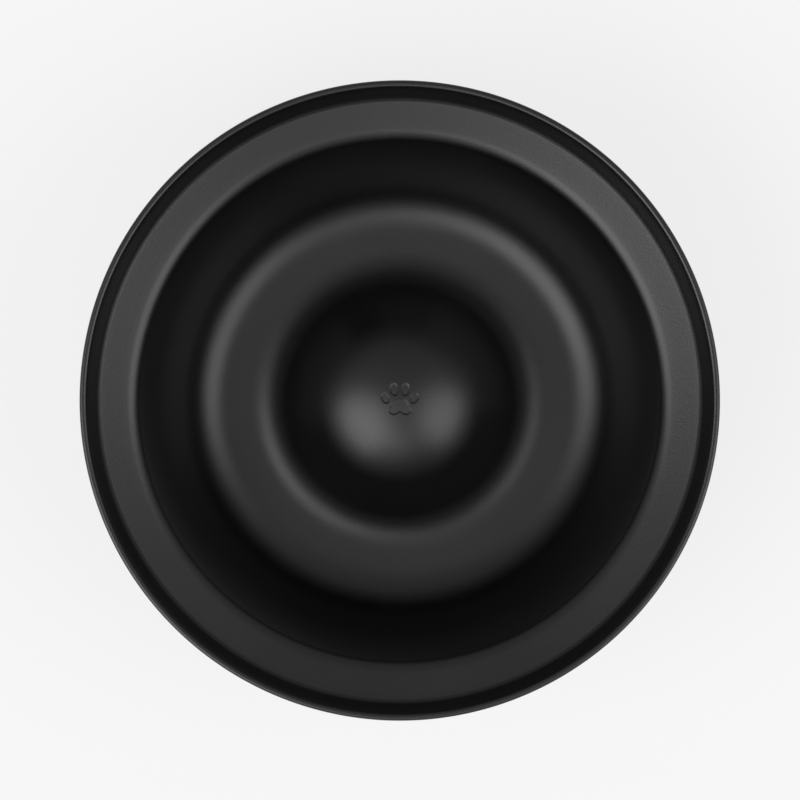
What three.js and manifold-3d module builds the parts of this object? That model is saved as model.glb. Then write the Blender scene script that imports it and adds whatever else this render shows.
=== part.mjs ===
// A dog bowl in two mouldings that a dog eats from slowly: a lift-out feeding dish with a raised dome in
// its middle, and an outer shell that carries the dish. The dish has a ledge around its well, a thin
// raised rim, and a skirt that hangs over the top of the shell. A silicone edge trim between them keeps
// the dish centred and quiet, and a silicone foot ring keeps the bowl from sliding on the floor.
// Sizes are in millimetres, +Z is up, and the origin is on the floor, below the middle of the bowl.
import * as THREE from "three";
import { mergeVertices } from "three/addons/utils/BufferGeometryUtils.js";
import Module from "manifold-3d";

const wasm = await Module();
wasm.setup();

// Overall size
const rimDiameter = 220;
const bowlHeight = 70;
const footDiameter = 198;

// How finely the round shapes are drawn
const stepsPerTurn = 60;
const chordError = 0.15;
const padSteps = 9;

// Feeding dish: the rim, the step inside it and the ledge around the well
const dishWall = 2.4;
const rimWidth = 2;
const rimRound = 1.1;
const stepDrop = 7.4;
const stepRun = 3.8;
const stepSweep = 6;
const stepFootRun = 1.3;
const stepFootDrop = 1;
const ledgeWidth = 12.1;
const ledgeFall = 2.65;
const mouthRound = 6.5;

// Feeding dish: the well, and the dome in its middle
const wellWallRun = 21.4;
const wellFootFillet = 15;
const domeHeight = 32;
const domeCapRadius = 38;
const domeSideDegrees = 50;
const domeFootFillet = 16;

// Feeding dish: the skirt below the rim
const skirtHeight = 16;
const skirtWall = 2.1;
const skirtDraft = 0.5;
const skirtEdgeRound = 0.6;

// Feeding dish: the paw mark pressed into the top of the dome
const markSize = 13;
const markDepth = 0.45;
const markPadShares = [
  { across: 0, up: -0.13, halfWidth: 0.22, halfHeight: 0.18, tiltTurn: 0 },
  { across: -0.15, up: -0.25, halfWidth: 0.14, halfHeight: 0.12, tiltTurn: 0.06 },
  { across: 0.15, up: -0.25, halfWidth: 0.14, halfHeight: 0.12, tiltTurn: -0.06 },
  { across: -0.39, up: 0.06, halfWidth: 0.09, halfHeight: 0.14, tiltTurn: 0.07 },
  { across: 0.39, up: 0.06, halfWidth: 0.09, halfHeight: 0.14, tiltTurn: -0.07 },
  { across: -0.15, up: 0.29, halfWidth: 0.1, halfHeight: 0.16, tiltTurn: 0.02 },
  { across: 0.15, up: 0.29, halfWidth: 0.1, halfHeight: 0.16, tiltTurn: -0.02 },
];

// Outer shell: its wall and floor, and the tongue along its top edge
const shellWall = 2.8;
const shellFloor = 2.4;
const shellFootRound = 5;
const shellCornerFillet = 4;
const shellStraight = 2;
const tongueWidth = 1.4;
const tongueHeight = 4;

// Outer shell: the webs in the corner of wall and floor
const webCount = 12;
const webWidth = 2;
const webHeight = 26;
const webFootReach = 16;
const webTopReach = 3;

// Edge trim: a silicone channel pushed down over the tongue
const trimTop = 1.2;
const trimLegLength = 3.6;
const trimEdgeRound = 0.3;

// Foot ring: silicone, held in a channel under the shell's floor
const footRingWidth = 11.5;
const footRingHeight = 3.4;
const footRingStandOut = 1.2;
const footRingInset = 5.6;
const footRingEdgeRound = 0.5;
const footGrooveCount = 2;
const footGrooveWidth = 1.3;
const footGrooveDepth = 0.8;
const footChannelRib = 2;

// Clearances
const skirtClearance = 0.4;
const trimClearance = 0.1;
const footRingClearance = 0.15;
const wellFloorClearance = 2.8;
const cutOverrun = 1;

// Heights and radii worked out from the sizes above
const rimRadius = rimDiameter / 2;
const footRadius = footDiameter / 2;
const stepFootRadius = rimRadius - rimWidth - stepRun;
const stepFootHeight = bowlHeight - stepDrop;
const ledgeOuterRadius = stepFootRadius - stepFootRun;
const ledgeOuterHeight = stepFootHeight - stepFootDrop;
const mouthRadius = ledgeOuterRadius - ledgeWidth;
const ledgeInnerHeight = ledgeOuterHeight - ledgeFall;
const shellFloorTop = footRingHeight + shellFloor;
const wellFloorHeight = shellFloorTop + wellFloorClearance + dishWall;
const wellFootRadius = mouthRadius - wellWallRun;
const domeCapCentre = wellFloorHeight + domeHeight - domeCapRadius;
const domeSideTurn = THREE.MathUtils.degToRad(domeSideDegrees);
const domeCapEdgeRadius = domeCapRadius * Math.sin(domeSideTurn);
const domeCapEdgeHeight = domeCapCentre + domeCapRadius * Math.cos(domeSideTurn);
const domeSideRun = (domeCapEdgeHeight - wellFloorHeight) / Math.tan(domeSideTurn);
const domeFootRadius = domeCapEdgeRadius + domeSideRun;
const skirtFootHeight = bowlHeight - skirtHeight;
const skirtInnerRadius = rimRadius - skirtDraft - skirtWall;
const shellTopRadius = skirtInnerRadius - skirtClearance;
const seatInnerRadius = shellTopRadius - shellWall - skirtClearance;
const ledgeSlope = ledgeFall / ledgeWidth;
const ledgeUnderside = dishWall * Math.hypot(1, ledgeSlope);
const seatHeight = ledgeOuterHeight - ledgeUnderside - ledgeSlope * (ledgeOuterRadius - seatInnerRadius);
const tongueTop = seatHeight - trimTop;
const tongueFoot = tongueTop - tongueHeight;
const tongueOuterRadius = shellTopRadius - (shellWall - tongueWidth) / 2;
const tongueInnerRadius = tongueOuterRadius - tongueWidth;
const shellStraightFoot = skirtFootHeight - shellStraight;
const footRingOuterRadius = footRadius - footRingInset;
const footRingInnerRadius = footRingOuterRadius - footRingWidth;

const point = (radius, height) => new THREE.Vector2(radius, height);
const corner = (radius, height, round = 0) => ({ at: point(radius, height), round });

// How many straight steps draw an arc within the chord error.
function arcSteps(radius, turn) {
  const turnPerStep = 2 * Math.acos(1 - Math.min(1, chordError / radius));
  return Math.max(2, Math.ceil(turn / turnPerStep));
}

// The straight path through the corners, with an arc in place of each corner that has a round.
function roundedPath(corners) {
  return corners.flatMap(({ at, round }, i) => {
    if (!round) return [at.clone()];
    const toBefore = corners[i - 1].at.clone().sub(at).normalize();
    const toAfter = corners[i + 1].at.clone().sub(at).normalize();
    const halfOpening = Math.acos(toBefore.dot(toAfter)) / 2;
    const turn = Math.PI - 2 * halfOpening;
    const towardsCentre = toBefore.clone().add(toAfter);
    const centre = towardsCentre.setLength(round / Math.sin(halfOpening)).add(at);
    const start = toBefore.clone().multiplyScalar(round / Math.tan(halfOpening)).add(at);
    const side = Math.sign(toAfter.cross(toBefore));
    const steps = arcSteps(round, turn);
    return Array.from({ length: steps + 1 }, (_, step) =>
      start.clone().rotateAround(centre, (side * turn * step) / steps),
    );
  });
}

// The corners of a path that runs beside the given one, a distance to its right: a wall's other face.
function offsetCorners(corners, distance) {
  const lines = corners.slice(1).map(({ at }, i) => {
    const along = at.clone().sub(corners[i].at).normalize();
    const aside = point(along.y, -along.x).multiplyScalar(distance);
    return { along, start: corners[i].at.clone().add(aside), end: at.clone().add(aside) };
  });
  const last = lines.length;
  return corners.map(({ round }, i) => {
    if (i === 0) return { at: lines[0].start, round };
    if (i === last) return { at: lines[last - 1].end, round };
    const [before, after] = [lines[i - 1], lines[i]];
    const bend = before.along.cross(after.along);
    const reach = after.start.clone().sub(before.start).cross(after.along) / bend;
    const at = before.start.clone().addScaledVector(before.along, reach);
    return { at, round: round && round + Math.sign(bend) * distance };
  });
}

// A geometry as a solid that can be joined and cut.
function solidOf(geometry) {
  const bare = geometry.clone();
  bare.deleteAttribute("normal");
  bare.deleteAttribute("uv");
  const merged = mergeVertices(bare);
  const vertProperties = merged.attributes.position.array;
  const triVerts = new Uint32Array(merged.index.array);
  return new wasm.Manifold(new wasm.Mesh({ numProp: 3, vertProperties, triVerts }));
}

// A solid turned about Z from a closed outline of radius and height, taken either way round.
function turned(outline) {
  const loop = [...outline, outline[0]];
  if (THREE.ShapeUtils.area(outline) < 0) loop.reverse();
  return solidOf(new THREE.LatheGeometry(loop, stepsPerTurn).rotateX(Math.PI / 2));
}

const materials = {
  moulding: new THREE.MeshStandardMaterial({ color: 0x1a1a1a, roughness: 0.38, metalness: 0 }),
  silicone: new THREE.MeshStandardMaterial({ color: 0x262626, roughness: 0.75, metalness: 0 }),
};

// A solid as a named mesh of its material.
function piece(name, solid, material) {
  const { vertProperties, triVerts, numProp } = solid.getMesh();
  const geometry = new THREE.BufferGeometry();
  geometry.setAttribute("position", new THREE.BufferAttribute(vertProperties, numProp));
  geometry.setIndex(new THREE.BufferAttribute(triVerts, 1));
  geometry.computeVertexNormals();
  const mesh = new THREE.Mesh(geometry, material);
  mesh.name = name;
  return mesh;
}

// The dome's round cap at a depth below its face, from the middle outwards.
function domeCap(depth) {
  const steps = arcSteps(domeCapRadius, domeSideTurn);
  return Array.from({ length: steps + 1 }, (_, step) => {
    const turn = (domeSideTurn * step) / steps;
    const outwards = point(Math.sin(turn), Math.cos(turn));
    return outwards.multiplyScalar(domeCapRadius - depth).add(point(0, domeCapCentre));
  });
}

// Feeding dish
function feedingDish() {
  const foodFace = [
    corner(domeCapEdgeRadius, domeCapEdgeHeight),
    corner(domeFootRadius, wellFloorHeight, domeFootFillet),
    corner(wellFootRadius, wellFloorHeight, wellFootFillet),
    corner(mouthRadius, ledgeInnerHeight, mouthRound),
    corner(ledgeOuterRadius, ledgeOuterHeight),
    corner(stepFootRadius, stepFootHeight, stepSweep),
    corner(rimRadius - rimWidth, bowlHeight, rimRound),
    corner(rimRadius, bowlHeight, rimRound),
    corner(rimRadius - skirtDraft, skirtFootHeight, skirtEdgeRound),
    corner(skirtInnerRadius, skirtFootHeight, skirtEdgeRound),
    corner(skirtInnerRadius, seatHeight),
    corner(seatInnerRadius, seatHeight),
  ];
  const underFace = offsetCorners(foodFace.slice(0, 5), dishWall).slice(0, 4).reverse();
  const outline = [
    ...domeCap(0).slice(0, -1),
    ...roundedPath([...foodFace, ...underFace]),
    ...domeCap(dishWall).slice(0, -1).reverse(),
  ];
  return turned(outline).subtract(pawMark());
}

// The mark's pads: upright ovals through the top of the dome, less the dome up to the mark's floor.
function pawMark() {
  const upright = { depth: domeHeight + cutOverrun, curveSegments: padSteps, bevelEnabled: false };
  const pads = markPadShares.map(({ across, up, halfWidth, halfHeight, tiltTurn }) => {
    const oval = new THREE.Shape().absellipse(
      across * markSize,
      up * markSize,
      halfWidth * markSize,
      halfHeight * markSize,
      0,
      2 * Math.PI,
      false,
      tiltTurn * 2 * Math.PI,
    );
    return solidOf(new THREE.ExtrudeGeometry(oval, upright).translate(0, 0, wellFloorHeight));
  });
  const base = wellFloorHeight - cutOverrun;
  const core = turned([point(0, base), point(domeCapEdgeRadius, base), ...domeCap(markDepth).reverse()]);
  return pads.reduce((all, pad) => all.add(pad)).subtract(core);
}

// Radius of the shell's outer face at a height, on its taper between the foot and the straight top.
const shellRadius = (height) =>
  THREE.MathUtils.mapLinear(height, footRingStandOut, shellStraightFoot, footRadius, shellTopRadius);

// Outer shell
function outerShell() {
  const channelInner = footRingInnerRadius - footRingClearance;
  const channelOuter = footRingOuterRadius + footRingClearance;
  const shell = turned(
    roundedPath([
      corner(0, footRingHeight),
      corner(channelInner - footChannelRib, footRingHeight),
      corner(channelInner - footChannelRib, footRingStandOut),
      corner(channelInner, footRingStandOut),
      corner(channelInner, footRingHeight),
      corner(channelOuter, footRingHeight),
      corner(channelOuter, footRingStandOut),
      corner(footRadius, footRingStandOut, shellFootRound),
      corner(shellTopRadius, shellStraightFoot),
      corner(shellTopRadius, tongueFoot),
      corner(tongueOuterRadius, tongueFoot),
      corner(tongueOuterRadius, tongueTop),
      corner(tongueInnerRadius, tongueTop),
      corner(tongueInnerRadius, tongueFoot),
      corner(shellTopRadius - shellWall, tongueFoot),
      corner(shellTopRadius - shellWall, shellStraightFoot),
      corner(shellRadius(shellFloorTop) - shellWall, shellFloorTop, shellCornerFillet),
      corner(0, shellFloorTop),
    ]),
  );
  const webs = Array.from({ length: webCount }, (_, i) => web((2 * Math.PI * i) / webCount));
  return webs.reduce((all, next) => all.add(next), shell);
}

// One web: a thin upright gusset between the shell's floor and its wall, sunk half way into both.
function web(angle) {
  const top = shellFloorTop + webHeight;
  const root = shellFloorTop - shellFloor / 2;
  const side = new THREE.Shape([
    point(shellRadius(shellFloorTop) - shellWall - webFootReach, root),
    point(shellRadius(root) - shellWall / 2, root),
    point(shellRadius(top) - shellWall / 2, top),
    point(shellRadius(top) - shellWall - webTopReach, top),
    point(shellRadius(shellFloorTop) - shellWall - webFootReach, shellFloorTop),
  ]);
  const plate = new THREE.ExtrudeGeometry(side, { depth: webWidth, bevelEnabled: false });
  return solidOf(plate.translate(0, 0, -webWidth / 2).rotateX(Math.PI / 2).rotateZ(angle));
}

// Edge trim
function edgeTrim() {
  const legFoot = tongueTop - trimLegLength;
  const slotInner = tongueInnerRadius - trimClearance;
  const slotOuter = tongueOuterRadius + trimClearance;
  return turned(
    roundedPath([
      corner(shellTopRadius - shellWall, legFoot),
      corner(shellTopRadius - shellWall, seatHeight, trimEdgeRound),
      corner(shellTopRadius, seatHeight, trimEdgeRound),
      corner(shellTopRadius, legFoot),
      corner(slotOuter, legFoot),
      corner(slotOuter, tongueTop),
      corner(slotInner, tongueTop),
      corner(slotInner, legFoot),
    ]),
  );
}

// Foot ring: a flat silicone ring with grooves around its tread
function footRing() {
  const pitch = footRingWidth / (footGrooveCount + 1);
  const grooves = Array.from({ length: footGrooveCount }, (_, i) => {
    const middle = footRingInnerRadius + pitch * (i + 1);
    const [inner, outer] = [middle - footGrooveWidth / 2, middle + footGrooveWidth / 2];
    return [corner(inner, 0), corner(inner, footGrooveDepth), corner(outer, footGrooveDepth), corner(outer, 0)];
  });
  return turned(
    roundedPath([
      corner(footRingInnerRadius, footRingHeight),
      corner(footRingInnerRadius, 0, footRingEdgeRound),
      ...grooves.flat(),
      corner(footRingOuterRadius, 0, footRingEdgeRound),
      corner(footRingOuterRadius, footRingHeight),
    ]),
  );
}

const bowl = new THREE.Group();
bowl.add(
  piece("feeding_dish", feedingDish(), materials.moulding),
  piece("outer_shell", outerShell(), materials.moulding),
  piece("edge_trim", edgeTrim(), materials.silicone),
  piece("foot_ring", footRing(), materials.silicone),
);

export default bowl;
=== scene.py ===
# %% [markdown]
# # A slow-feeding dog bowl
#
# The bowl is four pieces. A black dish with a dome in its middle lifts out of a black outer shell. A
# silicone trim lies between the two, and a silicone ring is the bowl's foot. All four are round, so each is
# drawn as one outline that is carried round an axis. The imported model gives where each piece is, and this
# script gives the pieces their fine form and their finish.

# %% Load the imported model
import math

import bpy
import numpy as np
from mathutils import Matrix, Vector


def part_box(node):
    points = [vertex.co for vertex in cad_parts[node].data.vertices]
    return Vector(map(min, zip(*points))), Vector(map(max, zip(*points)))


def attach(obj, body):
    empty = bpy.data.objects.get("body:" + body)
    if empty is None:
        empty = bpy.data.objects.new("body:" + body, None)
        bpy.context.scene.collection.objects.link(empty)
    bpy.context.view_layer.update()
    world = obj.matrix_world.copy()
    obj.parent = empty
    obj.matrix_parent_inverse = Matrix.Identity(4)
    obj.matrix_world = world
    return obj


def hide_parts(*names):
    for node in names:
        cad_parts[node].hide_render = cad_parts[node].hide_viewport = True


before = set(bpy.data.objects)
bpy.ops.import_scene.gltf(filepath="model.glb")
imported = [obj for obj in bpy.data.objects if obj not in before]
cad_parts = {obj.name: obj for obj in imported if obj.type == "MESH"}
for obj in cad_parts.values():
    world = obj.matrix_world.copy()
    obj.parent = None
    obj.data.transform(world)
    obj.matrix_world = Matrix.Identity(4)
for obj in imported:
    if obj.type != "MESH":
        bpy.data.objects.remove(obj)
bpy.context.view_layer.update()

# %% [markdown]
# ## Sizes
#
# The bowl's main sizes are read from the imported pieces, so the fine pieces always fit them. The others are
# the moulding's own: how thick a wall is, how round a corner. They are written in millimetres and made
# metres, which is Blender's unit.

# %% Sizes of the whole bowl
mm = 0.001
dish_low, dish_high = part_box("feeding_dish")
shell_low, shell_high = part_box("outer_shell")
trim_low, trim_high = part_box("edge_trim")
ring_low, ring_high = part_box("foot_ring")

bowl_height = dish_high.z
rim_radius = dish_high.x
moulding_wall = 2.4 * mm
well_floor_height = dish_low.z + moulding_wall
seat_height = trim_high.z
shell_top_radius = shell_high.x
print(f"rim {2000 * rim_radius:.2f} mm across, {1000 * bowl_height:.2f} mm high")

# %% [markdown]
# ## Camera
#
# The photograph looks straight down on the bowl, with the rim 641 of its 800 pixels across. The rim's middle
# is counted in pixels from the frame's left and top edges. A camera can match that from near with a short
# lens or from far with a long one. From far is right here, because the deep parts of the bowl then stay
# almost as large as the rim, as they were measured.

# %% Place the camera above the bowl
photo_pixels = 800
rim_pixels = 641
bowl_centre_pixels = (399.8, 400.5)
camera_distance = 3.0
sensor_width = 36
farthest_seen = 100

frame_width = 2 * rim_radius * photo_pixels / rim_pixels
pixel_size = frame_width / photo_pixels
camera_data = bpy.data.cameras.new("overhead_camera")
camera_data.sensor_width = sensor_width
camera_data.lens = sensor_width * camera_distance / frame_width
camera_data.clip_end = farthest_seen
camera = bpy.data.objects.new("overhead_camera", camera_data)
camera.location = (
    (photo_pixels / 2 - bowl_centre_pixels[0]) * pixel_size,
    (bowl_centre_pixels[1] - photo_pixels / 2) * pixel_size,
    bowl_height + camera_distance,
)
bpy.context.scene.collection.objects.link(camera)
bpy.context.scene.camera = camera
print(f"lens {camera_data.lens:.0f} mm, frame {1000 * frame_width:.1f} mm wide at the rim")

# %% [markdown]
# ## Outlines with round corners
#
# A moulding has no sharp corners: steel is cut round, plastic shrinks, and a hand feels every edge. One way
# is to build sharp pieces and bevel them. Here the corners are rounded in the outline itself, because an
# arc between two straight lines is exact and costs only the points that it needs.

# %% Round the corners of an outline
arc_step = math.radians(6)
longest_step = 3 * mm
fewest_arc_steps = 3


def rounded_path(corners):
    """The straight path through corners of (radius, height, round), with an arc in place of a round one.

    The arc's centre lies on the line that halves the corner, at round / sin(half the opening) from it. It
    starts at round / tan(half the opening) before the corner and turns by half a turn less the opening.
    """
    points = np.array([corner[:2] for corner in corners], float)
    path = [points[:1]]
    for before, at, after, size in zip(points, points[1:], points[2:], [c[2] for c in corners[1:-1]]):
        if size == 0:
            path.append(at[None])
            continue
        back = (before - at) / np.linalg.norm(before - at)
        on = (after - at) / np.linalg.norm(after - at)
        half = math.acos(float(back @ on)) / 2
        halving = (back + on) / np.linalg.norm(back + on)
        centre = at + halving * size / math.sin(half)
        start = at + back * size / math.tan(half) - centre
        turn = (math.pi - 2 * half) * np.sign(on[0] * back[1] - on[1] * back[0])
        angles = np.linspace(0, turn, max(fewest_arc_steps, math.ceil(abs(turn) / arc_step)) + 1)
        across = np.array([-start[1], start[0]])
        path.append(centre + np.cos(angles)[:, None] * start + np.sin(angles)[:, None] * across)
    return np.concatenate([*path, points[-1:]])


def spread(path, longest=longest_step):
    """The same path with each straight stretch cut in equal steps no longer than the longest.

    A point of stretch i lies at its start plus a share of its run, and the share grows by 1 / steps.
    """
    runs = np.diff(path, axis=0)
    steps = np.maximum(1, np.ceil(np.linalg.norm(runs, axis=1) / longest)).astype(int)
    stretch = np.repeat(np.arange(len(runs)), steps)
    share = (np.arange(steps.sum()) - np.repeat(np.cumsum(steps) - steps, steps)) / steps[stretch]
    return np.concatenate([path[stretch] + share[:, None] * runs[stretch], path[-1:]])


def beside(corners, distance):
    """The corners of the path that runs beside the given one, a distance to its right: a wall's other face.

    Each straight line moves sideways by the distance, and each new corner is where two moved lines meet.
    A round that bends towards the new path shrinks by the distance, and one that bends away grows by it.
    """
    points = np.array([corner[:2] for corner in corners], float)
    rounds = np.array([corner[2] for corner in corners], float)
    along = np.diff(points, axis=0)
    along /= np.linalg.norm(along, axis=1)[:, None]
    aside = distance * np.stack([along[:, 1], -along[:, 0]], axis=1)
    starts = points[:-1] + aside
    bend = along[:-1, 0] * along[1:, 1] - along[:-1, 1] * along[1:, 0]
    gap = starts[1:] - starts[:-1]
    reach = (gap[:, 0] * along[1:, 1] - gap[:, 1] * along[1:, 0]) / bend
    inner = starts[:-1] + reach[:, None] * along[:-1]
    moved = np.concatenate([starts[:1], inner, points[-1:] + aside[-1:]])
    rounds[1:-1] += np.where(rounds[1:-1] > 0, np.sign(bend) * distance, 0)
    return [(*at, size) for at, size in zip(moved, rounds)]


# %% [markdown]
# ## Turned surfaces
#
# A turned piece is a function of two parameters: a place on the outline, and an angle round the axis. Both
# are laid out as a grid, and the whole grid is worked out at once with numpy. Blender's Spin or Screw
# could do it too, but with the grid at hand each point can also carry a value, such as how sharply the
# outline bends there. The finish uses that value to polish the edges that hands and tongues touch.

# %% Carry an outline round the axis
steps_per_turn = 300
smooth_limit = math.radians(32)
axis_width = 1e-6 * mm


def edge_of(path):
    """How sharply a path bends outwards at each point, from 0 on a flat to 1 on a round of 1 mm or less.

    The turn at a point over the mean length of its two steps is 1 / round. A point on the axis gets 0,
    because there the outline only turns back into the solid.
    """
    before = path - np.roll(path, 1, axis=0)
    after = np.roll(path, -1, axis=0) - path
    turn = np.arctan2(
        before[:, 0] * after[:, 1] - before[:, 1] * after[:, 0],
        before[:, 0] * after[:, 0] + before[:, 1] * after[:, 1],
    )
    step = (np.linalg.norm(before, axis=1) + np.linalg.norm(after, axis=1)) / 2
    around = np.roll(path, -1, axis=0)
    area = (path[:, 0] * around[:, 1] - path[:, 1] * around[:, 0]).sum()
    return np.where(path[:, 0] > axis_width, np.clip(np.sign(area) * turn / step * mm, 0, 1), 0)


def turned_grid(path, steps=steps_per_turn):
    """The points (r cos a, r sin a, z) for each (r, z) of the path and each angle a, and the faces between.

    The path runs from axis to axis, or is closed by its own last step. A point on the axis is one pole, and
    the faces beside it are triangles. Faces turn so that their fronts look out of the solid.
    """
    angles = np.arange(steps) * 2 * math.pi / steps
    on_axis = path[:, 0] < axis_width
    closed = not on_axis[0]
    points = np.stack(
        [
            path[:, :1] * np.cos(angles),
            path[:, :1] * np.sin(angles),
            np.repeat(path[:, 1:], steps, axis=1),
        ],
        axis=2,
    )
    index = np.arange(len(path) * steps).reshape(len(path), steps)
    index[on_axis] = index[on_axis][:, :1]
    rows = np.concatenate([index, index[:1]]) if closed else index
    quads = np.stack([rows[:-1], np.roll(rows, -1, 1)[:-1], np.roll(rows, -1, 1)[1:], rows[1:]], axis=2)
    around = np.roll(path, -1, axis=0)
    if (path[:, 0] * around[:, 1] - path[:, 1] * around[:, 0]).sum() < 0:
        quads = quads[..., ::-1]
    quads = quads.reshape(-1, 4)
    used, compact = np.unique(quads, return_inverse=True)
    return points.reshape(-1, 3)[used], compact.reshape(-1, 4), used // steps


def faces_of(quads):
    """The quads as lists of corners, with a corner that comes twice in a row dropped."""
    keep = quads != np.roll(quads, 1, axis=1)
    whole = keep.all(axis=1)
    triangles = quads[~whole][keep[~whole]].reshape(-1, 3)
    return quads[whole].tolist() + triangles.tolist()


def mesh_piece(name, points, faces, values=None):
    """An object at the origin with these points, faces and point values, smooth but for its real edges."""
    mesh = bpy.data.meshes.new(name)
    mesh.from_pydata(points.tolist(), [], faces)
    for label, numbers in (values or {}).items():
        mesh.attributes.new(label, "FLOAT", "POINT").data.foreach_set("value", numbers.astype(np.float32))
    mesh.shade_smooth()
    mesh.set_sharp_from_angle(angle=smooth_limit)
    mesh.validate()
    piece = bpy.data.objects.new(name, mesh)
    bpy.context.scene.collection.objects.link(piece)
    return piece


def turned_piece(name, path):
    """A turned piece from a path that is already fine enough, with its edges marked for the finish."""
    points, quads, row = turned_grid(path)
    piece = mesh_piece(name, points, faces_of(quads), {"edge": edge_of(path)[row]})
    print(f"{name}: {len(path)} points along the outline, {len(quads)} faces")
    return piece


# %% [markdown]
# ## Feeding dish
#
# The dish is what the dog meets: a thin round rim, a dark step inside it, a sloping ledge, then the steep
# wall of the well, and a dome that slows the eating. It could be modelled by hand from a cylinder with loop
# cuts, but its shape is all circles and straight slopes, so the outline below is the whole dish. The under
# face is the food face moved down by the wall, as a moulding of even thickness has it.

# %% Sizes of the feeding dish
rim_width = 2 * mm
rim_round = 1.1 * mm
step_drop = 7.4 * mm
step_run = 3.8 * mm
step_sweep = 6 * mm
step_foot_run = 1.3 * mm
step_foot_drop = 1 * mm
step_foot_round = 0.4 * mm
ledge_width = 12.1 * mm
ledge_fall = 2.65 * mm
mouth_round = 6.5 * mm
well_wall_run = 21.4 * mm
well_foot_fillet = 15 * mm
dome_height = 32 * mm
dome_cap_radius = 38 * mm
dome_side_turn = math.radians(50)
dome_foot_fillet = 16 * mm
skirt_draft = 0.5 * mm
skirt_wall = 2.1 * mm
skirt_height = 16 * mm
skirt_edge_round = 0.6 * mm
skirt_clearance = 0.4 * mm
shell_wall = 2.8 * mm
inside_round = 0.5 * mm

step_foot_radius = rim_radius - rim_width - step_run
step_foot_height = bowl_height - step_drop
ledge_outer_radius = step_foot_radius - step_foot_run
ledge_outer_height = step_foot_height - step_foot_drop
mouth_radius = ledge_outer_radius - ledge_width
ledge_inner_height = ledge_outer_height - ledge_fall
well_foot_radius = mouth_radius - well_wall_run
skirt_foot_height = bowl_height - skirt_height
skirt_inner_radius = rim_radius - skirt_draft - skirt_wall
seat_inner_radius = shell_top_radius - shell_wall - skirt_clearance

dome_cap_centre = well_floor_height + dome_height - dome_cap_radius
cap_edge_radius = dome_cap_radius * math.sin(dome_side_turn)
cap_edge_height = dome_cap_centre + dome_cap_radius * math.cos(dome_side_turn)
dome_foot_radius = cap_edge_radius + (cap_edge_height - well_floor_height) / math.tan(dome_side_turn)
well_depth = ledge_inner_height - well_floor_height
print(f"well {2000 * mouth_radius:.1f} mm wide, {1000 * well_depth:.1f} mm deep")

# %% [markdown]
# A small paw print is pressed into the top of the dome, as a maker would press a mark. It could be a
# separate inlay or only a painted bump. Here the dome's own grid sinks under seven ovals with a soft
# edge, so the mark catches the light as a pressed one does. The same share of depth is kept at each
# point, and the finish is a little duller where it is 1.

# %% The paw mark as a share of depth
mark_size = 13 * mm
mark_depth = 0.45 * mm
mark_edge = 0.45 * mm
mark_reach = 8.6 * mm
mark_row_step = 0.2 * mm
mark_pads = np.array(
    [
        (0, -0.13, 0.22, 0.18, 0),
        (-0.15, -0.25, 0.14, 0.12, 0.06),
        (0.15, -0.25, 0.14, 0.12, -0.06),
        (-0.39, 0.06, 0.09, 0.14, 0.07),
        (0.39, 0.06, 0.09, 0.14, -0.07),
        (-0.15, 0.29, 0.1, 0.16, 0.02),
        (0.15, 0.29, 0.1, 0.16, -0.02),
    ]
)


def mark_share(x, y):
    """How deep the mark is pressed at each point, from 0 on the dome to 1 on the mark's floor.

    Each pad is an oval (across, up, half width, half height, tilt in turns) in shares of the mark's size.
    A point's distance inside the oval is about (1 - its oval radius) times the smaller half size, and the
    share eases from 0 to 1 over the edge's width. The deepest pad counts.
    """
    across, up, half_width, half_height = mark_pads[:, :4].T * mark_size
    tilt = mark_pads[:, 4] * 2 * math.pi
    from_middle_x = x[:, None] - across
    from_middle_y = y[:, None] - up
    along = np.cos(tilt) * from_middle_x + np.sin(tilt) * from_middle_y
    aside = np.cos(tilt) * from_middle_y - np.sin(tilt) * from_middle_x
    inside = (1 - np.hypot(along / half_width, aside / half_height)) * np.minimum(half_width, half_height)
    ease = np.clip(inside / mark_edge + 0.5, 0, 1).max(axis=1)
    return ease * ease * (3 - 2 * ease)


# %% [markdown]
# The outline starts at the top of the dome and runs down its side, over the trough, up the wall and over the
# rim. Then it comes back inside the skirt and under the ledge and the well to the axis. Even steps all over
# would be simple but heavy. So the cap has short steps only where the mark is pressed in, and longer ones
# beyond it, and the grid's points under the mark are then moved towards the cap's centre.

# %% The dome's cap
cap_step = arc_step / 3


def dome_cap(depth, first_angles):
    """The dome's round cap at a depth below its face: centre + (cap radius - depth) (sin a, cos a)."""
    rest = np.arange(first_angles[-1] + cap_step, dome_side_turn, cap_step)
    angles = np.concatenate([first_angles, rest])
    return np.array([0, dome_cap_centre]) + (dome_cap_radius - depth) * np.stack(
        [np.sin(angles), np.cos(angles)], axis=1
    )


# %% Outline of the dish
food_face = [
    (cap_edge_radius, cap_edge_height, 0),
    (dome_foot_radius, well_floor_height, dome_foot_fillet),
    (well_foot_radius, well_floor_height, well_foot_fillet),
    (mouth_radius, ledge_inner_height, mouth_round),
    (ledge_outer_radius, ledge_outer_height, step_foot_round),
    (step_foot_radius, step_foot_height, step_sweep),
    (rim_radius - rim_width, bowl_height, rim_round),
    (rim_radius, bowl_height, rim_round),
    (rim_radius - skirt_draft, skirt_foot_height, skirt_edge_round),
    (skirt_inner_radius, skirt_foot_height, skirt_edge_round),
    (skirt_inner_radius, seat_height, inside_round),
    (seat_inner_radius, seat_height, inside_round),
]
under_face = beside(food_face[:5], moulding_wall)[:4][::-1]
dish_path = np.concatenate(
    [
        dome_cap(0, np.arange(0, mark_reach, mark_row_step) / dome_cap_radius),
        spread(rounded_path(food_face + under_face)),
        dome_cap(moulding_wall, np.zeros(1))[::-1],
    ]
)
print(f"dish outline: {len(dish_path)} points")

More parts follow.
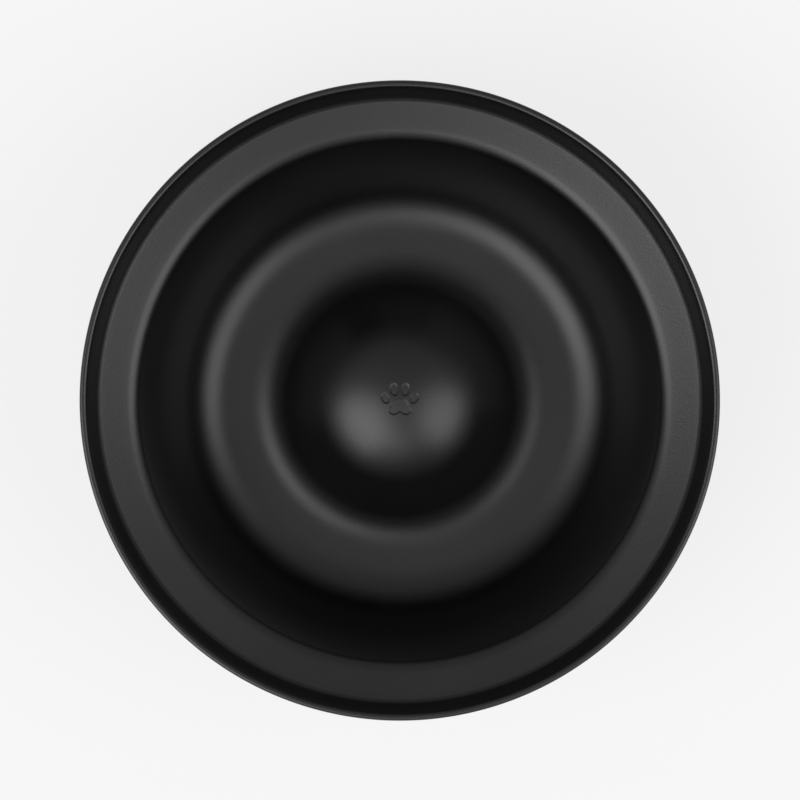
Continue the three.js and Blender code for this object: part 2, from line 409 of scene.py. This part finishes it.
# %% [markdown]
# In the photograph the step and the well are darker beside the ledge than one finish all over would make
# them. So the bowl's steep faces are taken to be smoother. Moulds are made that way, because grain on a
# steep face scrapes the plastic as it leaves the steel. A Geometry node could tell the material how steep a
# face is, but would make the skirt smooth too. So a point value tells it, for the outline inside the rim.

# %% How steep the food face is
grained_slope = math.radians(41)
smooth_slope = math.radians(64)


def steepness_of(path):
    """How steep a path is at each point: 0 up to the grained slope and 1 from the smooth slope on.

    The slope is the angle between level and the line from the point before to the point after. Between the
    two slopes the value grows evenly.
    """
    run, rise = np.abs(np.roll(path, -1, axis=0) - np.roll(path, 1, axis=0)).T
    return np.clip((np.arctan2(rise, run) - grained_slope) / (smooth_slope - grained_slope), 0, 1)


inside_rim = (dish_path[:, 0] > axis_width) & (dish_path[:, 0] < rim_radius - rim_width / 2)
dish_steepness = np.where(inside_rim, steepness_of(dish_path), 0)
print(f"steep points: {np.count_nonzero(dish_steepness)} of {len(dish_path)}")

# %% The dish itself
dish_points, dish_quads, dish_row = turned_grid(dish_path)
above = dish_points[:, 2] > dome_cap_centre + dome_cap_radius * math.cos(mark_reach / dome_cap_radius)
on_food_face = dish_row < len(dish_path) / 2
dish_mark = np.where(above & on_food_face, mark_share(dish_points[:, 0], dish_points[:, 1]), 0)
towards_centre = np.array([0, 0, dome_cap_centre]) - dish_points
dish_points += towards_centre * (dish_mark * mark_depth / dome_cap_radius)[:, None]
feeding_dish = mesh_piece(
    "dish_moulding",
    dish_points,
    faces_of(dish_quads),
    {"edge": edge_of(dish_path)[dish_row], "mark": dish_mark, "steep": dish_steepness[dish_row]},
)
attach(feeding_dish, "dish")
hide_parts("feeding_dish")
print(f"dish: {len(dish_quads)} faces, {np.count_nonzero(dish_mark)} points in the mark")

# %% [markdown]
# ## Outer shell
#
# The shell carries the dish by its top edge and stands on the foot ring. Seen from the side it is a
# plain taper with a round foot. It has a thin tongue along the top for the trim, and a channel below for
# the foot ring. In the middle of its underside is the mark of the gate, where the plastic ran into the
# mould. All of that could be cut and joined with booleans, but each is round about the same axis, so it
# only takes more corners in the outline.

# %% Sizes of the shell
shell_longest_step = 6 * mm
shell_floor = 2.4 * mm
shell_foot_radius = 99 * mm
shell_foot_round = 5 * mm
shell_corner_fillet = 4 * mm
shell_straight = 2 * mm
tongue_width = 1.4 * mm
tongue_height = 4 * mm
tongue_round = 0.25 * mm
channel_clearance = 0.15 * mm
channel_rib = 2 * mm
channel_round = 0.4 * mm
gate_radius = 3.5 * mm
gate_depth = 0.5 * mm
gate_nub_radius = 1 * mm
gate_round = 0.1 * mm

shell_foot_height = shell_low.z
tongue_top = shell_high.z
tongue_foot = tongue_top - tongue_height
tongue_outer_radius = shell_top_radius - (shell_wall - tongue_width) / 2
tongue_inner_radius = tongue_outer_radius - tongue_width
shell_underside = ring_high.z
shell_floor_top = shell_underside + shell_floor
straight_foot = skirt_foot_height - shell_straight
ring_outer_radius = ring_high.x
ring_width = 11.5 * mm
ring_inner_radius = ring_outer_radius - ring_width
channel_inner_radius = ring_inner_radius - channel_clearance
channel_outer_radius = ring_outer_radius + channel_clearance


def shell_radius(height):
    """The radius of the shell's outer face: it grows evenly from the foot to where the wall is straight."""
    share = (height - shell_foot_height) / (straight_foot - shell_foot_height)
    return shell_foot_radius + share * (shell_top_radius - shell_foot_radius)


print(f"shell: {2000 * shell_foot_radius:.0f} mm across below, {2000 * shell_top_radius:.1f} mm above")

# %% Outline of the shell and the shell itself
shell_path = spread(
    rounded_path(
        [
            (0, shell_underside + gate_depth / 2, 0),
            (gate_nub_radius, shell_underside + gate_depth / 2, gate_round),
            (gate_nub_radius, shell_underside + gate_depth, gate_round),
            (gate_radius, shell_underside + gate_depth, gate_round),
            (gate_radius, shell_underside, gate_round),
            (channel_inner_radius - channel_rib, shell_underside, channel_round),
            (channel_inner_radius - channel_rib, shell_foot_height, channel_round),
            (channel_inner_radius, shell_foot_height, channel_round),
            (channel_inner_radius, shell_underside, 0),
            (channel_outer_radius, shell_underside, 0),
            (channel_outer_radius, shell_foot_height, channel_round),
            (shell_foot_radius, shell_foot_height, shell_foot_round),
            (shell_top_radius, straight_foot, 0),
            (shell_top_radius, tongue_foot, tongue_round),
            (tongue_outer_radius, tongue_foot, tongue_round),
            (tongue_outer_radius, tongue_top, tongue_round),
            (tongue_inner_radius, tongue_top, tongue_round),
            (tongue_inner_radius, tongue_foot, tongue_round),
            (shell_top_radius - shell_wall, tongue_foot, tongue_round),
            (shell_top_radius - shell_wall, straight_foot, 0),
            (shell_radius(shell_floor_top) - shell_wall, shell_floor_top, shell_corner_fillet),
            (0, shell_floor_top, 0),
        ]
    ),
    shell_longest_step,
)
outer_shell = turned_piece("shell_moulding", shell_path)
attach(outer_shell, "holder")
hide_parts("outer_shell")

# %% [markdown]
# Twelve webs stiffen the corner of wall and floor. Each is a thin upright plate: a flat outline with two
# sides. An Array modifier could repeat one, but here one array of numbers holds them all: the outline's
# points, times two sides, times twelve angles. A Bevel modifier takes the sharpness off their free edges.

# %% Webs in the corner of wall and floor
web_count = 12
web_width = 2 * mm
web_height = 26 * mm
web_foot_reach = 16 * mm
web_top_reach = 3 * mm
web_top_round = 2 * mm
web_edge_round = 0.3 * mm
web_edge_steps = 3
web_top = shell_floor_top + web_height
web_root = shell_floor_top - shell_floor / 2
web_side = rounded_path(
    [
        (shell_radius(shell_floor_top) - shell_wall - web_foot_reach, web_root, 0),
        (shell_radius(web_root) - shell_wall / 2, web_root, 0),
        (shell_radius(web_top) - shell_wall / 2, web_top, 0),
        (shell_radius(web_top) - shell_wall - web_top_reach, web_top, web_top_round),
        (shell_radius(shell_floor_top) - shell_wall - web_foot_reach, shell_floor_top, web_top_round),
        (shell_radius(shell_floor_top) - shell_wall - web_foot_reach, web_root, 0),
    ]
)[:-1]


def plates(side, width, count):
    """Upright plates: the outline's (r, z) at half the width to either side, turned to count even angles.

    The outline runs against the clock, seen with the axis on its left, so the near side's faces look out.
    """
    angles = np.arange(count)[:, None, None] * 2 * math.pi / count
    radius, height = side[None, None, :, 0], side[None, None, :, 1]
    aside = np.array([-width / 2, width / 2])[None, :, None]
    x = radius * np.cos(angles) - aside * np.sin(angles)
    y = radius * np.sin(angles) + aside * np.cos(angles)
    points = np.stack([x, y, np.broadcast_to(height, x.shape)], axis=3)
    index = np.arange(count * 2 * len(side)).reshape(count, 2, len(side))
    near, far = index[:, 0], index[:, 1]
    rims = np.stack([near, np.roll(near, -1, 1), np.roll(far, -1, 1), far], axis=2).reshape(-1, 4)
    return points.reshape(-1, 3), near.tolist() + far[:, ::-1].tolist() + rims[:, ::-1].tolist()


shell_webs = mesh_piece("shell_webs", *plates(web_side, web_width, web_count))
web_bevel = shell_webs.modifiers.new("soft edges", "BEVEL")
web_bevel.width = web_edge_round
web_bevel.segments = web_edge_steps
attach(shell_webs, "holder")
print(f"webs: {web_count} plates, {1000 * web_height:.0f} mm high")

# %% [markdown]
# Round steel pins push the finished shell off its mould, and each leaves a low round pad on the floor. The
# pads could be painted on as a bump, but a real edge catches the light better and is in the exported mesh
# too. One pad is turned, and the others are the same points moved to equal angles between the webs.

# %% Pads that the mould's pins leave on the floor
pad_count = web_count
pad_circle_radius = 70 * mm
pad_radius = 3.5 * mm
pad_height = 0.2 * mm
pad_root = 0.5 * mm
pad_round = 0.15 * mm
pad_steps = 48

pad_path = rounded_path(
    [
        (0, shell_floor_top - pad_root, 0),
        (pad_radius, shell_floor_top - pad_root, 0),
        (pad_radius, shell_floor_top + pad_height, pad_round),
        (0, shell_floor_top + pad_height, 0),
    ]
)
pad_points, pad_quads, pad_row = turned_grid(pad_path, pad_steps)
pad_angles = (np.arange(pad_count) + 0.5) * 2 * math.pi / pad_count
pad_places = pad_circle_radius * np.stack([np.cos(pad_angles), np.sin(pad_angles), 0 * pad_angles], axis=1)
pad_starts = np.arange(pad_count) * len(pad_points)
shell_pin_pads = mesh_piece(
    "shell_pin_pads",
    (pad_places[:, None] + pad_points).reshape(-1, 3),
    faces_of((pad_starts[:, None, None] + pad_quads).reshape(-1, 4)),
    {"edge": np.tile(edge_of(pad_path)[pad_row], pad_count)},
)
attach(shell_pin_pads, "holder")
print(f"pin pads: {pad_count}, each {2000 * pad_radius:.0f} mm across")

# %% [markdown]
# ## Silicone rings
#
# The edge trim is a channel of silicone, pushed down over the shell's tongue, and the dish sits on its
# rounded top. It could be a strip bent round a circle by a Curve modifier. It is turned like the rest,
# because its outline is then exact and closes on itself.

# %% Edge trim
trim_clearance = 0.1 * mm
trim_edge_round = 0.35 * mm
trim_lip_round = 0.2 * mm
trim_foot = trim_low.z
slot_inner = tongue_inner_radius - trim_clearance
slot_outer = tongue_outer_radius + trim_clearance
trim_inner_radius = shell_top_radius - shell_wall


def closed_path(corners):
    """The rounded path through corners that close on themselves, started in the middle of its first side."""
    (r0, z0, _), (r1, z1, _) = corners[:2]
    middle = ((r0 + r1) / 2, (z0 + z1) / 2, 0)
    return spread(rounded_path([middle, *corners[1:], corners[0], middle]))[:-1]


trim_path = closed_path(
    [
        (trim_inner_radius, trim_foot, trim_lip_round),
        (trim_inner_radius, seat_height, trim_edge_round),
        (shell_top_radius, seat_height, trim_edge_round),
        (shell_top_radius, trim_foot, trim_lip_round),
        (slot_outer, trim_foot, trim_lip_round),
        (slot_outer, tongue_top, 0),
        (slot_inner, tongue_top, 0),
        (slot_inner, trim_foot, trim_lip_round),
    ]
)
edge_trim = turned_piece("trim_ring", trim_path)
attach(edge_trim, "holder")
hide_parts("edge_trim")

# %% [markdown]
# The foot ring lies in the shell's channel and keeps the bowl from sliding, and two grooves around its
# tread help it grip. They could be cut with thin cylinders, but a loop that adds four corners to the
# outline for each groove does the same and rounds their edges too.

# %% Foot ring
groove_count = 2
groove_width = 1.3 * mm
groove_depth = 0.8 * mm
groove_round = 0.3 * mm
ring_edge_round = 0.6 * mm

grooves = []
for groove in range(groove_count):
    middle = ring_inner_radius + ring_width * (groove + 1) / (groove_count + 1)
    grooves += [
        (middle - groove_width / 2, ring_low.z, groove_round),
        (middle - groove_width / 2, groove_depth, groove_round),
        (middle + groove_width / 2, groove_depth, groove_round),
        (middle + groove_width / 2, ring_low.z, groove_round),
    ]
ring_path = closed_path(
    [
        (ring_inner_radius, ring_high.z, 0),
        (ring_inner_radius, ring_low.z, ring_edge_round),
        *grooves,
        (ring_outer_radius, ring_low.z, ring_edge_round),
        (ring_outer_radius, ring_high.z, 0),
    ]
)
foot_ring = turned_piece("foot_ring_silicone", ring_path)
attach(foot_ring, "holder")
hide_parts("foot_ring")

# %% [markdown]
# ## Effects that the finishes share
#
# A moulded surface copies its steel mould. The steel is eroded by sparks, which leaves a fine even grain
# that makes black plastic satin and not glossy. Over that lie slow changes, where the plastic cooled
# faster or slower, and a polish on the edges. These effects are wanted in every material here, so each is
# a node group with its own inputs, built once.

# %% Helpers to build nodes
def add_node(tree, kind, links=None, **settings):
    """A node of a kind, with its inputs linked from sockets or set to values, and its properties set."""
    node = tree.nodes.new(kind)
    for name, value in settings.items():
        setattr(node, name, value)
    for name, value in (links or {}).items():
        if isinstance(value, bpy.types.NodeSocket):
            tree.links.new(value, node.inputs[name])
        else:
            node.inputs[name].default_value = value
    return node


def times_plus(tree, value, times, plus):
    """The output of a Math node that gives value x times + plus."""
    inputs = {0: value, 1: times, 2: plus}
    return add_node(tree, "ShaderNodeMath", inputs, operation="MULTIPLY_ADD").outputs[0]


def new_group(name, inputs, outputs):
    """An empty node group with float or vector inputs and float outputs, and its two end nodes."""
    tree = bpy.data.node_groups.new(name, "ShaderNodeTree")
    for label, kind in inputs.items():
        tree.interface.new_socket(label, in_out="INPUT", socket_type=kind)
    for label in outputs:
        tree.interface.new_socket(label, in_out="OUTPUT", socket_type="NodeSocketFloat")
    return tree, tree.nodes.new("NodeGroupInput"), tree.nodes.new("NodeGroupOutput")


# %% Spark grain: the fine even texture of the mould
finer_times = 3.0
finer_share = 1 / 3


def spark_grain():
    """Two layers of noise, of the grain's size and a third of it. Height = 2/3 the coarse + 1/3 the fine."""
    tree, given, out = new_group(
        "spark grain",
        {"Vector": "NodeSocketVector", "Grains per metre": "NodeSocketFloat"},
        ["Height"],
    )
    coarse = add_node(
        tree,
        "ShaderNodeTexNoise",
        {"Vector": given.outputs["Vector"], "Scale": given.outputs["Grains per metre"], "Detail": 1.0},
    )
    finer = add_node(
        tree, "ShaderNodeMath", {0: given.outputs["Grains per metre"], 1: finer_times}, operation="MULTIPLY"
    )
    fine = add_node(
        tree,
        "ShaderNodeTexNoise",
        {"Vector": given.outputs["Vector"], "Scale": finer.outputs[0], "Detail": 0.0},
    )
    blended = add_node(
        tree,
        "ShaderNodeMix",
        {"Factor": finer_share, "A": coarse.outputs[0], "B": fine.outputs[0]},
        data_type="FLOAT",
    )
    tree.links.new(blended.outputs[0], out.inputs["Height"])
    return tree


grain_group = spark_grain()

# %% [markdown]
# A large black face that is the same all over looks drawn. On a real one the gloss drifts a little from
# place to place. A broad noise does that. Its values crowd round one half, so they are stretched, or the
# drift would hardly show.

# %% Slow change: where the plastic cooled faster or slower
noise_low = 0.3
noise_high = 0.7


def slow_change():
    """Broad noise stretched to fill 0 to 1: Share = (noise - low) / (high - low), kept between 0 and 1."""
    tree, given, out = new_group(
        "slow change",
        {"Vector": "NodeSocketVector", "Patches per metre": "NodeSocketFloat"},
        ["Share"],
    )
    noise = add_node(
        tree,
        "ShaderNodeTexNoise",
        {"Vector": given.outputs["Vector"], "Scale": given.outputs["Patches per metre"], "Detail": 3.0},
    )
    stretched = add_node(
        tree,
        "ShaderNodeMapRange",
        {"Value": noise.outputs[0], "From Min": noise_low, "From Max": noise_high},
    )
    tree.links.new(stretched.outputs["Result"], out.inputs["Share"])
    return tree


slow_group = slow_change()

# %% [markdown]
# Corners wear first, and worn plastic is smoother. A Bevel node could find the corners, but it costs many
# extra rays. Each point already carries how sharply the outline bends there, so that value is used, with
# noise to break up its even line.

# %% Rubbed edge: where hands, cloths and tongues polish a corner
steady_share = 0.4
rubs_per_metre = 90.0


def rubbed_edge():
    """The edge value broken up by noise: Share = edge (steady share + (1 - steady share) noise)."""
    tree, given, out = new_group(
        "rubbed edge",
        {"Vector": "NodeSocketVector", "Edge": "NodeSocketFloat"},
        ["Share"],
    )
    noise = add_node(
        tree,
        "ShaderNodeTexNoise",
        {"Vector": given.outputs["Vector"], "Scale": rubs_per_metre, "Detail": 4.0},
    )
    broken = times_plus(tree, noise.outputs[0], 1 - steady_share, steady_share)
    share = add_node(
        tree, "ShaderNodeMath", {0: broken, 1: given.outputs["Edge"]}, operation="MULTIPLY"
    )
    tree.links.new(share.outputs[0], out.inputs["Share"])
    return tree


rubbed_group = rubbed_edge()
print("effects:", [group.name for group in (grain_group, slow_group, rubbed_group)])

# %% [markdown]
# ## Finishes
#
# The mouldings are black plastic with a satin face. Its colour hardly matters: what is seen is the
# light mirrored in it, spread wide by the grain. So roughness does the work, with small changes over the
# surface, a slight polish on the edges and less grain on the bowl's steep faces. The mark's floor is duller
# than the dome round it, because a cloth doesn't reach it. All materials here differ only in numbers, so one
# function builds them.

# %% Build a finish
steep_grain_loss = 0.85


def finish_of(name, base, light, rough, rough_change, grain, grain_depth, patches, rub, mark=0, steep=0):
    """A black finish. Colour runs from base to light and roughness by its change, both with the slow share.

    Roughness = rough + change (slow - 1/2) - rub (rubbed share) + mark (mark share) - steep (steep share).
    The grain is the bump, and its height is times (1 - loss (steep share)).
    """
    material = bpy.data.materials.new(name)
    material.use_nodes = True
    tree = material.node_tree
    shader = tree.nodes["Principled BSDF"]
    place = add_node(tree, "ShaderNodeTexCoord").outputs["Object"]
    slow = add_node(
        tree, "ShaderNodeGroup", {"Vector": place, "Patches per metre": patches}, node_tree=slow_group
    ).outputs["Share"]
    edge = add_node(tree, "ShaderNodeAttribute", attribute_name="edge").outputs["Fac"]
    rubbed = add_node(
        tree, "ShaderNodeGroup", {"Vector": place, "Edge": edge}, node_tree=rubbed_group
    ).outputs["Share"]
    colour = add_node(
        tree, "ShaderNodeMix", {"Factor": slow, "A": (*base, 1), "B": (*light, 1)}, data_type="RGBA"
    )
    tree.links.new(colour.outputs["Result"], shader.inputs["Base Color"])
    uneven = times_plus(tree, slow, rough_change, rough - rough_change / 2)
    roughness = times_plus(tree, rubbed, -rub, uneven)
    if mark:
        pressed = add_node(tree, "ShaderNodeAttribute", attribute_name="mark").outputs["Fac"]
        roughness = times_plus(tree, pressed, mark, roughness)
    height = add_node(
        tree, "ShaderNodeGroup", {"Vector": place, "Grains per metre": grain}, node_tree=grain_group
    ).outputs["Height"]
    if steep:
        slope = add_node(tree, "ShaderNodeAttribute", attribute_name="steep").outputs["Fac"]
        roughness = times_plus(tree, slope, -steep, roughness)
        kept = times_plus(tree, slope, -steep_grain_loss, 1)
        height = add_node(tree, "ShaderNodeMath", {0: height, 1: kept}, operation="MULTIPLY").outputs[0]
    tree.links.new(roughness, shader.inputs["Roughness"])
    bump = add_node(tree, "ShaderNodeBump", {"Height": height, "Distance": grain_depth, "Strength": 1})
    tree.links.new(bump.outputs["Normal"], shader.inputs["Normal"])
    return material, shader


def dress(piece, material):
    """Give the piece this material and no other."""
    piece.data.materials.clear()
    piece.data.materials.append(material)


# %% Satin black mouldings
deep_black = (0.0014, 0.0014, 0.0014)
worn_black = (0.0024, 0.0024, 0.0025)
plastic_ior = 1.55

satin_dish, satin_dish_shader = finish_of(
    "satin black dish", deep_black, worn_black,
    rough=0.41, rough_change=0.04, grain=1200, grain_depth=0.045 * mm, patches=24, rub=0.06, mark=0.14,
    steep=0.22,
)
satin_shell, satin_shell_shader = finish_of(
    "satin black shell", deep_black, worn_black,
    rough=0.43, rough_change=0.04, grain=1200, grain_depth=0.045 * mm, patches=20, rub=0.06,
)
for shader in (satin_dish_shader, satin_shell_shader):
    shader.inputs["IOR"].default_value = plastic_ior
dress(feeding_dish, satin_dish)
dress(outer_shell, satin_shell)
dress(shell_webs, satin_shell)
dress(shell_pin_pads, satin_shell)

# %% [markdown]
# Silicone is a softer black that holds fine dust. A mix with a second, paler shader could show the dust,
# but the Principled shader's own sheen is made for it and survives the export.

# %% Silicone
soft_black = (0.017, 0.017, 0.018)
dusty_black = (0.023, 0.023, 0.024)
silicone_ior = 1.42
dust_sheen = 0.12
dust_sheen_roughness = 0.5

silicone, silicone_shader = finish_of(
    "dark silicone", soft_black, dusty_black,
    rough=0.68, rough_change=0.08, grain=1800, grain_depth=0.02 * mm, patches=40, rub=0.04,
)
silicone_shader.inputs["IOR"].default_value = silicone_ior
silicone_shader.inputs["Sheen Weight"].default_value = dust_sheen
silicone_shader.inputs["Sheen Roughness"].default_value = dust_sheen_roughness
dress(edge_trim, silicone)
dress(foot_ring, silicone)
print("finishes:", [m.name for m in (satin_dish, satin_shell, silicone)])

# %% [markdown]
# ## Floor
#
# A studio floor for a black product is nearly white. More light could make it so, but would grey the bowl.
# Instead most of its brightness for the camera is its own glow, so that it stays even, and the rest is the
# light that falls on it, so that the bowl keeps its shadow.

# %% Floor
floor_reach = 20.0
floor_grey = 0.88
glow_grey = 0.905
own_glow_share = 0.85
floor_mesh = bpy.data.meshes.new("studio_floor")
floor_corners = floor_reach * np.array([(-1, -1, 0), (1, -1, 0), (1, 1, 0), (-1, 1, 0)])
floor_mesh.from_pydata(floor_corners.tolist(), [], [(0, 1, 2, 3)])
floor = bpy.data.objects.new("studio_floor", floor_mesh)
bpy.context.scene.collection.objects.link(floor)

paper = bpy.data.materials.new("floor paper")
paper.use_nodes = True
tree = paper.node_tree
tree.nodes.clear()
rays = add_node(tree, "ShaderNodeLightPath")
camera_or_glossy = add_node(
    tree,
    "ShaderNodeMath",
    {0: rays.outputs["Is Camera Ray"], 1: rays.outputs["Is Glossy Ray"]},
    operation="MAXIMUM",
)
seen = add_node(
    tree,
    "ShaderNodeMath",
    {0: camera_or_glossy.outputs[0], 1: rays.outputs["Is Transmission Ray"]},
    operation="MAXIMUM",
)
share = add_node(tree, "ShaderNodeMath", {0: seen.outputs[0], 1: own_glow_share}, operation="MULTIPLY")
matt = add_node(tree, "ShaderNodeBsdfDiffuse", {"Color": (floor_grey, floor_grey, floor_grey, 1)})
glow = add_node(
    tree, "ShaderNodeEmission", {"Color": (glow_grey, glow_grey, glow_grey, 1), "Strength": 1.0}
)
both = add_node(tree, "ShaderNodeMixShader", {0: share.outputs[0], 1: matt.outputs[0], 2: glow.outputs[0]})
add_node(tree, "ShaderNodeOutputMaterial", {"Surface": both.outputs[0]})
dress(floor, paper)

# %% [markdown]
# ## Lights
#
# The photograph tells of two broad soft lights, to the left and to the right, because the dome mirrors them
# as two pale patches. A small third light in front fills the dark between the patches. They could be large
# area lamps, but those light near things more than far ones. A lamp of the kind Sun with a wide angle is a
# soft light that is equally far from every spot. A grey world fills the rest.

# %% Lights
def soft_light(name, brightness, bearing, lean, spread_angle):
    """A wide soft light: brightness is its face's colour value, bearing turns from +X, lean from overhead.

    A disc of half angle h and brightness b gives pi b sin(h)^2 of light on a face turned towards it.
    """
    lamp = bpy.data.lights.new(name, "SUN")
    lamp.angle = math.radians(spread_angle)
    lamp.energy = math.pi * brightness * math.sin(math.radians(spread_angle) / 2) ** 2
    light = bpy.data.objects.new(name, lamp)
    light.rotation_euler = (0, math.radians(lean), math.radians(bearing))
    bpy.context.scene.collection.objects.link(light)


soft_light("left_softbox", brightness=3.19, bearing=212, lean=48, spread_angle=56)
soft_light("right_softbox", brightness=2.58, bearing=340, lean=50, spread_angle=51)
soft_light("front_softbox", brightness=1.5, bearing=267, lean=44, spread_angle=24)

world_grey = 0.41
studio = bpy.data.worlds.new("studio")
studio.use_nodes = True
background = studio.node_tree.nodes["Background"]
background.inputs["Color"].default_value = (world_grey, world_grey, world_grey, 1)
background.inputs["Strength"].default_value = 1.0
bpy.context.scene.world = studio
bpy.context.scene.view_settings.view_transform = "Standard"
lamps = [thing.name for thing in bpy.context.scene.objects if thing.type == "LIGHT"]
print("lights:", lamps)
